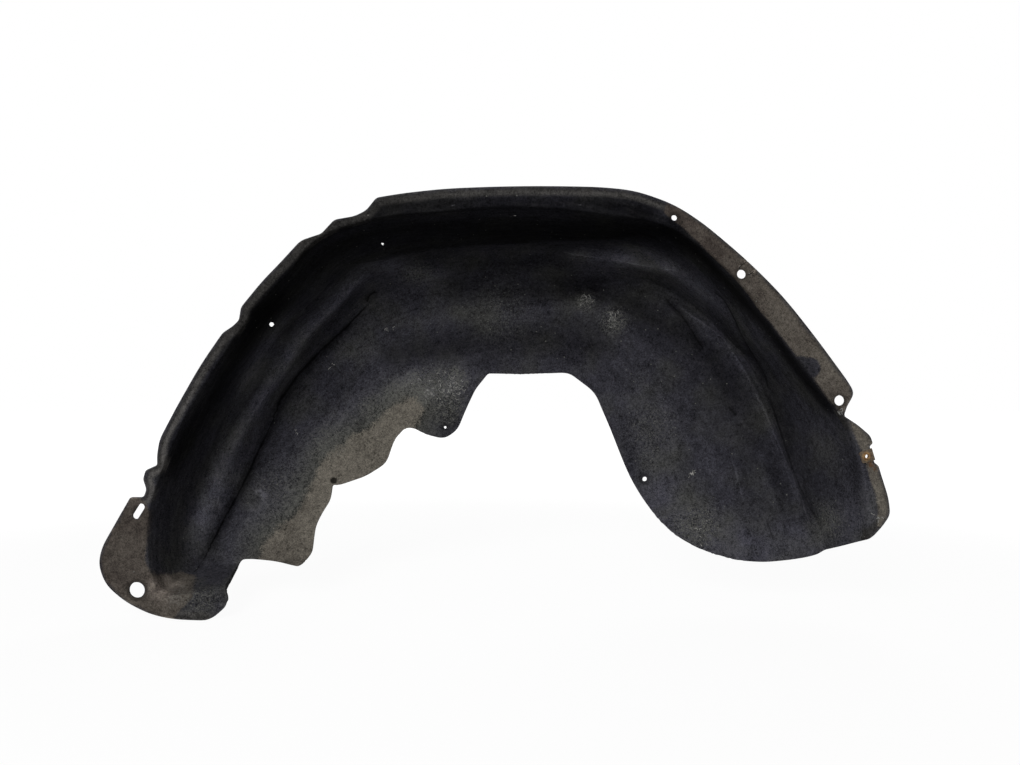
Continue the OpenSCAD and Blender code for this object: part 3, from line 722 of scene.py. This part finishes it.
def feltFinish():
    make = Finish(bpy.data.materials.new("needled_felt"))
    # each grain swings round 0
    fine, clump, mottle, broad, strand, curl = (
        make.grain(make.places(turn), *numbers) - 0.5 for turn, *numbers in feltGrains.values())
    strand = abs(strand).between(0.03, 0.0)
    curl = abs(curl).between(0.06, 0.012)
    unrolled = make.node("ShaderNodeAttribute", {"attribute_name": "sweepPlace"}, output="Vector")
    brush, sweep = (
        make.grain(make.node("ShaderNodeMapping", {}, {"Vector": unrolled, "Scale": scale}),
                   1.0, *numbers) - 0.5
        for scale, *numbers in feltStreaks.values())
    dustEdge = make.number("dustEdge")
    dustTone = make.number("dustTone")
    dustRagged = make.number("dustRagged")
    # the tone of the creases and strokes: painted shade, painted light and dust
    tone = make.number("cleanTone")
    front = 1 - make.number("backSide")
    rimDistance = make.number("rimDistance")
    ring = make.number("ringShade") * front
    specks = make.number("specks") * front
    rusty, stainedAndShaded, scuffed = (
        (make.number(name) * (gain + (clump + mottle) * rough) - 0.4).between(0.0, soft) * front
        for name, (gain, rough, soft) in feltStains.items())
    # dust inside its ragged outline, and a haze of it outside
    ragged = dustEdge + (clump * 16 + fine * 22) * (dustRagged + 0.02) + mottle * 18 * dustRagged
    dust = (ragged / (1.2 + dustRagged * 3.6)).between(-1.0, 1.0) * front
    nearDust = (dustEdge + mottle * 24 + clump * 16).between(-60, 0)
    nearDust = nearDust * (dustRagged * 1.4).smaller(1.0) * front
    haze = nearDust * (0.5 + nearDust * 0.5)
    grey = haze.larger(specks * feltCover["grey"]).larger(0.2 + broad * 2.4)
    felted = make.blend(grey, feltColours["clean"], feltColours["grey"])
    felted = make.tint(felted, tone * (1 + haze * 0.45))
    # a strip of its own tone along the flange's edge
    pale = 1 + rimDistance.between(*edgeBands["tone"]) * (make.number("stripTone") - 1)
    edgeStrip = rimDistance.between(*edgeBands["strip"]) + brush * 0.5
    edgeStrip = edgeStrip.smaller(1.0).larger(0.0) * front * feltCover["strip"]
    felted = make.blend(edgeStrip, felted, make.tint(feltColours["strip"], pale))
    dusty = make.blend(
        dustTone + broad * 0.8 + mottle * 0.5, feltColours["brownDust"], feltColours["paleDust"])
    colour = make.blend(dust * feltCover["dust"], felted, dusty)
    colour = make.blend(scuffed * feltCover["scuff"], colour, feltColours["scuff"])
    # the grain, then the lines of the creases as painted shade and painted highlight, the rings'
    # painted shade, and the dark stains with the painted shade beside the holes
    depth = (1 - dust * 0.25) * (1 + specks * 0.5)
    grain = 1 + (fine * 2.3 + clump * 2.6 + mottle * 1.0) * depth + broad * 0.6
    grain = grain + (brush * 0.7 + sweep * 1.1) * (1 - dust * 0.6)
    grain = grain + strand * 0.4 * (1 - dust * 1.7) + curl * dust * 0.25
    # painted light on the steep dusty bits that the light misses
    grain = grain * (1 + make.number("thickDust") * dust * 2.0)
    # the creases' thin lines of painted shade and painted highlight
    line = abs(make.number("inkSide") + mottle * 2.2 + clump * 1.2).between(1.9, 0.2)
    grain = grain.larger(0.2) * (1 - line * make.number("ink") * feltCover["ink"] * front)
    # the rings' painted shade round the holes
    grain = grain * (1 - ring * (feltCover["ring"] + clump))
    # painted highlight along the flange's cut edge
    grain = grain * (1 + rimDistance.between(*edgeBands["lipHighlight"]) * 1.1 * front)
    # dark stains, with painted shade beside the holes
    grain = grain * (1 - stainedAndShaded * feltCover["stainAndShade"])
    colour = make.tint(colour, grain)
    colour = make.blend(rusty * feltCover["rust"], colour, feltColours["rust"])
    # lint in a few picked cells, and curls where the specks are
    cells = make.node("ShaderNodeTexVoronoi", {"feature": "F1"},
                      {"Vector": make.places(), "Scale": lint["scale"]}, output="Distance")
    lot = make.node("ShaderNodeSeparateColor", {}, {"Color": cells.also("Color")}, output="Red")
    bits = cells.between(*lint["middle"]) * (lot + specks * 0.08).between(*lint["picked"])
    bits = bits * front * feltCover["lint"]
    curls = curl * (specks * (1.4 + clump * 4) - 0.12).between(0.0, 0.6) * feltCover["curls"]
    colour = make.blend(bits.larger(curls), colour, feltColours["lint"])
    height = fine * 0.5 + clump * 1.1 + strand * 0.35 + mottle * 0.9 + brush * 0.5 + curls * 0.6
    return make.surface(
        {"Base Color": colour, "Normal": make.bump(height, *felt["bump"])},
        {"Roughness": felt["roughness"], "Sheen Weight": felt["sheen"],
         "Sheen Roughness": felt["sheenSpread"], "Specular IOR Level": felt["gloss"]})


def makeFelt():
    piece = copyNode("arch_liner", "moulded_felt")
    smoothSheet(piece)
    print("felt sheet smoothed:", len(piece.data.polygons), "faces")
    refineSheet(piece)
    print("felt sheet refined:", len(piece.data.polygons), "faces")
    tone = pressCreases(piece)
    selectOnly(piece)
    bpy.ops.object.shade_smooth_by_angle(angle=math.radians(felt["sharpAngle"]))
    markZones(piece, tone)
    piece.data.materials.append(feltFinish())
    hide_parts("arch_liner")
    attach(piece, "root")
    triangles = sum(len(p.vertices) - 2 for p in piece.data.polygons)
    print("felt made:", triangles, "triangles")
    return piece


# loose fibres: clusters as X, Y, Z, spread, number of fibres and their length, all in mm
fluff = {
    "thickness": 0.4,
    "sides": 4,
    "points": 8,
    "endShare": 0.35,
    "spreadShare": 0.6,
    "lengthShare": (0.5, 1.1),
    "bend": 0.5,
    "wander": 0.35,
    "lift": (0.15, 0.7),
    "shortest": 0.1,
    "clusters": [(511, 192, 336, 7, 26, 9), (543, 182, 305, 8, 16, 8), (546, 180, 316, 5, 9, 7),
                 (635, 122, 115, 3.5, 12, 6), (815, 1, 80, 3, 12, 5), (774, 1, 195, 2.5, 9, 4),
                 (326, 197, 216, 14, 44, 8), (341, 197, 223, 9, 20, 7), (306, 196, 214, 9, 14, 7),
                 (177, 195, 251, 2, 3, 7), (313, 197, 221, 16, 24, 8), (338, 197, 231, 9, 12, 7),
                 (290, 196, 229, 10, 10, 7), (137, 139, 179, 5, 3, 6), (254, 193, 297, 5, 3, 6),
                 (414, 28, 419, 1.5, 2, 4), (590, 145, 384, 14, 7, 6), (640, 98, 54, 16, 8, 7)],
    # the fibres in the two tears, in the front view, and their places behind the flange's face
    "tears": [[(670.2, 346.5), (670.6, 346.6), (673.0, 346.9), (675.1, 347.3), (678.6, 350.5),
               (679.1, 350.9)],
              [(663.6, 352.4), (663.5, 352.9), (663.1, 355.0), (669.9, 361.0), (671.0, 361.7),
               (671.5, 361.9)]],
    "tearDepths": (0.7, 2.2),
    "tearThickness": 0.78,
    "tearJitter": 0.05,
    "seed": 11,
    "patches": (260, 2, 0.5),
    "patchBand": (0.35, 0.65),
    "roughness": 0.85,
    "gloss": 0.05,
    "lintColours": ((0.13, 0.13, 0.125, 1), (0.30, 0.295, 0.28, 1)),
    # the torn fibres are darker than the felt, as painted shade inside the tears
    "tearShadeColours": ((0.006, 0.0055, 0.005, 1), (0.02, 0.017, 0.015, 1)),
}


def tubeAlong(mesh, points, thickness):
    # a thin closed tube with narrowed ends through a few points
    rings = []
    for index, point in enumerate(points):
        ahead = points[min(index + 1, len(points) - 1)] - points[max(index - 1, 0)]
        across = ahead.orthogonal().normalized()
        other = ahead.normalized().cross(across)
        taper = fluff["endShare"] if index in (0, len(points) - 1) else 1.0
        ring = []
        for corner in range(fluff["sides"]):
            turn = 2 * math.pi * corner / fluff["sides"]
            offset = across * math.cos(turn) + other * math.sin(turn)
            ring.append(mesh.verts.new(point + offset * (thickness * taper)))
        rings.append(ring)
    for low, high in zip(rings, rings[1:]):
        for corner in range(fluff["sides"]):
            after = (corner + 1) % fluff["sides"]
            mesh.faces.new((low[corner], low[after], high[after], high[corner]))
    mesh.faces.new(rings[0][::-1])
    mesh.faces.new(rings[-1])


def fluffFinish(name, dark, light):
    make = Finish(bpy.data.materials.new(name))
    patches = make.grain(make.places(), *fluff["patches"])
    colour = make.blend(patches.between(*fluff["patchBand"]), dark, light)
    rough = fluff["roughness"]
    return make.surface({"Base Color": colour, "Roughness": rough + patches * (1 - rough)},
                        {"Specular IOR Level": fluff["gloss"]})


def meshPiece(name, mesh, material):
    bmesh.ops.recalc_face_normals(mesh, faces=mesh.faces)
    data = bpy.data.meshes.new(name)
    mesh.to_mesh(data)
    mesh.free()
    piece = bpy.data.objects.new(name, data)
    bpy.context.collection.objects.link(piece)
    data.materials.append(material)
    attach(piece, "root")
    return piece


def makeFluff(sheet):
    # curly loose fibres that lie on the felt, and fibres that close the two tears, dark as painted
    # shade inside them
    draw = np.random.default_rng(fluff["seed"])
    shape = bmesh.new()
    shape.from_mesh(sheet.data)
    tree = BVHTree.FromBMesh(shape)
    shape.free()
    mesh = bmesh.new()
    for x, y, z, reach, count, length in fluff["clusters"]:
        for _ in range(count):
            start = Vector((x, y, z)) + Vector(draw.normal(0, reach * fluff["spreadShare"], 3))
            heading, bend = draw.uniform(0, 2 * math.pi), draw.normal(0, fluff["bend"])
            step = length * draw.uniform(*fluff["lengthShare"]) / (fluff["points"] - 1)
            points = []
            for _ in range(fluff["points"]):
                spot, normal = tree.find_nearest(start * mm)[:2]
                if normal.y > 0:
                    break
                points.append(spot + normal * (draw.uniform(*fluff["lift"]) * mm))
                heading += bend + draw.normal(0, fluff["wander"])
                start = spot / mm + Vector((math.cos(heading), 0, math.sin(heading))) * step
            # a fibre that turned over an edge or piled up on itself is left out
            gaps = [(b - a).length for a, b in zip(points, points[1:])]
            if len(points) == fluff["points"] and min(gaps) > fluff["shortest"] * mm:
                tubeAlong(mesh, points, fluff["thickness"] * mm)
    meshPiece("loose_fibres", mesh, fluffFinish("pale_lint", *fluff["lintColours"]))
    mesh = bmesh.new()
    jitter = fluff["tearJitter"]
    for tear in fluff["tears"]:
        for depth in fluff["tearDepths"]:
            points = [Vector((x + draw.normal(0, jitter), depth, z + draw.normal(0, jitter))) * mm
                      for x, z in tear]
            tubeAlong(mesh, points, fluff["tearThickness"] * mm)
    meshPiece("torn_fibres", mesh, fluffFinish("torn_felt_shade", *fluff["tearShadeColours"]))
    print("loose and torn fibres made")


# in metres and degrees; the rust is bright round the collar and dulled by dust further out
clipNut = {
    "mergeAngle": 2,
    "bevel": 0.00022,
    "bevelAngle": 40,
    "bevelSegments": 2,
    "smoothAngle": 35,
    "holeAt": (0.80256, 0.0, 0.147211),
    "collar": 0.0032,
    "collarBand": (1.9, 1.0),
    "blotch": (420, 4, 0.65),
    "pits": (1500, 3, 0.6),
    "rust": [(0.3, (0.045, 0.022, 0.010)), (0.46, (0.15, 0.080, 0.030)),
             (0.58, (0.32, 0.195, 0.080)), (0.75, (0.46, 0.34, 0.18))],
    "dulled": [(0.35, (0.034, 0.022, 0.015)), (0.5, (0.082, 0.062, 0.042)),
               (0.7, (0.135, 0.110, 0.078))],
    "bump": (0.7, 0.0004),
    "roughness": 0.7,
    "gloss": 0.3,
}


def rustFinish():
    make = Finish(bpy.data.materials.new("rusted_spring_steel"))
    places = make.places()
    blotch = make.grain(places, *clipNut["blotch"])
    pits = make.grain(places, *clipNut["pits"])
    centred = make.places(shift=[-value for value in clipNut["holeAt"]])
    flat = make.node("ShaderNodeVectorMath", {"operation": "MULTIPLY"}, {0: centred, 1: (1, 0, 1)})
    away = make.node("ShaderNodeVectorMath", {"operation": "LENGTH"}, {0: flat}, output="Value")
    collar = (away / clipNut["collar"] + (blotch - 0.5) * 0.8).between(*clipNut["collarBand"])
    rust = make.ramp(blotch * 0.7 + pits * 0.3, clipNut["rust"])
    dulled = make.ramp(blotch * 0.6 + pits * 0.4, clipNut["dulled"])
    colour = make.blend(collar.larger((blotch - 0.56) * 4), dulled, rust)
    rough = clipNut["roughness"]
    return make.surface(
        {"Base Color": colour, "Normal": make.bump(pits + blotch, *clipNut["bump"]),
         "Roughness": rough + pits * (1 - rough)},
        {"Metallic": 0.0, "Specular IOR Level": clipNut["gloss"]})


def makeClipNut():
    piece = copyNode("clip_nut", "rusty_clip")
    editAll(piece, (bpy.ops.mesh.dissolve_limited, {
        "angle_limit": math.radians(clipNut["mergeAngle"])}))
    applyModifier(piece, "BEVEL", {
        "width": clipNut["bevel"], "segments": clipNut["bevelSegments"], "limit_method": "ANGLE",
        "angle_limit": math.radians(clipNut["bevelAngle"]), "use_clamp_overlap": True})
    bpy.ops.object.shade_smooth_by_angle(angle=math.radians(clipNut["smoothAngle"]))
    piece.data.materials.append(rustFinish())
    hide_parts("clip_nut")
    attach(piece, "root")
    print("clip nut made")


white = (1, 1, 1, 1)

studio = {
    "floorGap": 0.0006,
    "floorMiddle": (0.4, 0.1),
    "floorSize": 14.0,
    "floorColour": (0.38, 0.38, 0.38, 1),
    # to the camera the floor glows by this share near the liner, and wholly far from it
    "floorGlow": 1.1,
    "nearShare": 0.86,
    "glowBand": (0.7, 1.8),
    "lamps": {
        "key_lamp": {"at": (-0.3, -1.95, 1.15), "size": 1.3, "power": 50.0},
        "fill_lamp": {"at": (1.5, -1.7, 0.4), "size": 1.6, "power": 7.0},
        "rear_lamp": {"at": (1.1, 2.1, 1.3), "size": 1.4, "power": 28.0},
    },
    "lampTarget": (0.40, 0.06, 0.22),
    "ambient": 0.10,
    "cameraAt": (0.41067, -1.0, 0.22837),
    "cameraReach": 50,
    "sensorWidth": 36,
    "focalPixels": 909.09,
    "photoWidth": 1020,
}


def paleFinish():
    make = Finish(bpy.data.materials.new("pale_floor"))
    seen = make.node("ShaderNodeLightPath", output="Is Camera Ray")
    away = make.node("ShaderNodeVectorMath", {"operation": "DISTANCE"}, {
        0: make.places(), 1: (*studio["floorMiddle"], 0.0)}, output="Value")
    near = studio["nearShare"]
    share = near + away.between(*studio["glowBand"]) * (1 - near)
    plain = make.node("ShaderNodeBsdfDiffuse", {}, {"Color": studio["floorColour"]})
    glow = make.node("ShaderNodeEmission", {}, {"Color": white, "Strength": studio["floorGlow"]})
    return make.outlet(make.node("ShaderNodeMixShader", {}, {0: seen * share, 1: plain, 2: glow}))


def makeStage():
    # the floor lies just under the liner's lowest point
    lowest = min(corner[2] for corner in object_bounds()) - studio["floorGap"]
    bpy.ops.object.select_all(action="DESELECT")
    bpy.ops.mesh.primitive_plane_add(
        size=studio["floorSize"], location=(*studio["floorMiddle"], lowest))
    floor = bpy.context.object
    floor.name = "pale_floor"
    bpy.ops.object.transform_apply(location=True, rotation=True, scale=True)
    floor.data.materials.append(paleFinish())
    floor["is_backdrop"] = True


def makeLamps():
    # discs of light that the camera doesn't see
    for name, lamp in studio["lamps"].items():
        light = bpy.data.lights.new(name, "AREA")
        light.shape = "DISK"
        light.size = lamp["size"]
        light.energy = lamp["power"]
        holder = bpy.data.objects.new(name, light)
        bpy.context.collection.objects.link(holder)
        holder.location = lamp["at"]
        holder.visible_camera = False
        aim = Vector(studio["lampTarget"]) - Vector(lamp["at"])
        holder.rotation_euler = aim.to_track_quat("-Z", "Y").to_euler()


def makeWorld():
    # white to the camera and in reflections, dim as a light
    make = Finish(bpy.data.worlds.new("studio_air"))
    bpy.context.scene.world = make.owner
    seen = make.node("ShaderNodeLightPath", output="Is Camera Ray")
    shiny = seen.also("Is Glossy Ray").larger(seen.also("Is Transmission Ray"))
    strength = make.node("ShaderNodeMapRange", {}, {
        "Value": seen.larger(shiny), "To Min": studio["ambient"], "To Max": 1.0})
    air = make.node("ShaderNodeBackground", {}, {"Color": white, "Strength": strength})
    make.outlet(air, "ShaderNodeOutputWorld")


def makeCamera():
    lens = bpy.data.cameras.new("photo_camera")
    lens.sensor_fit = "HORIZONTAL"
    lens.sensor_width = studio["sensorWidth"]
    lens.lens = studio["focalPixels"] * studio["sensorWidth"] / studio["photoWidth"]
    lens.clip_end = studio["cameraReach"]
    holder = bpy.data.objects.new("photo_camera", lens)
    bpy.context.collection.objects.link(holder)
    holder.location = studio["cameraAt"]
    holder.rotation_euler = (math.radians(90), 0, 0)
    bpy.context.scene.camera = holder


feltSheet = makeFelt()
makeFluff(feltSheet)
makeClipNut()
makeStage()
makeWorld()
makeLamps()
makeCamera()
bpy.context.scene.view_settings.view_transform = "Standard"
print("stage, lamps and camera set")
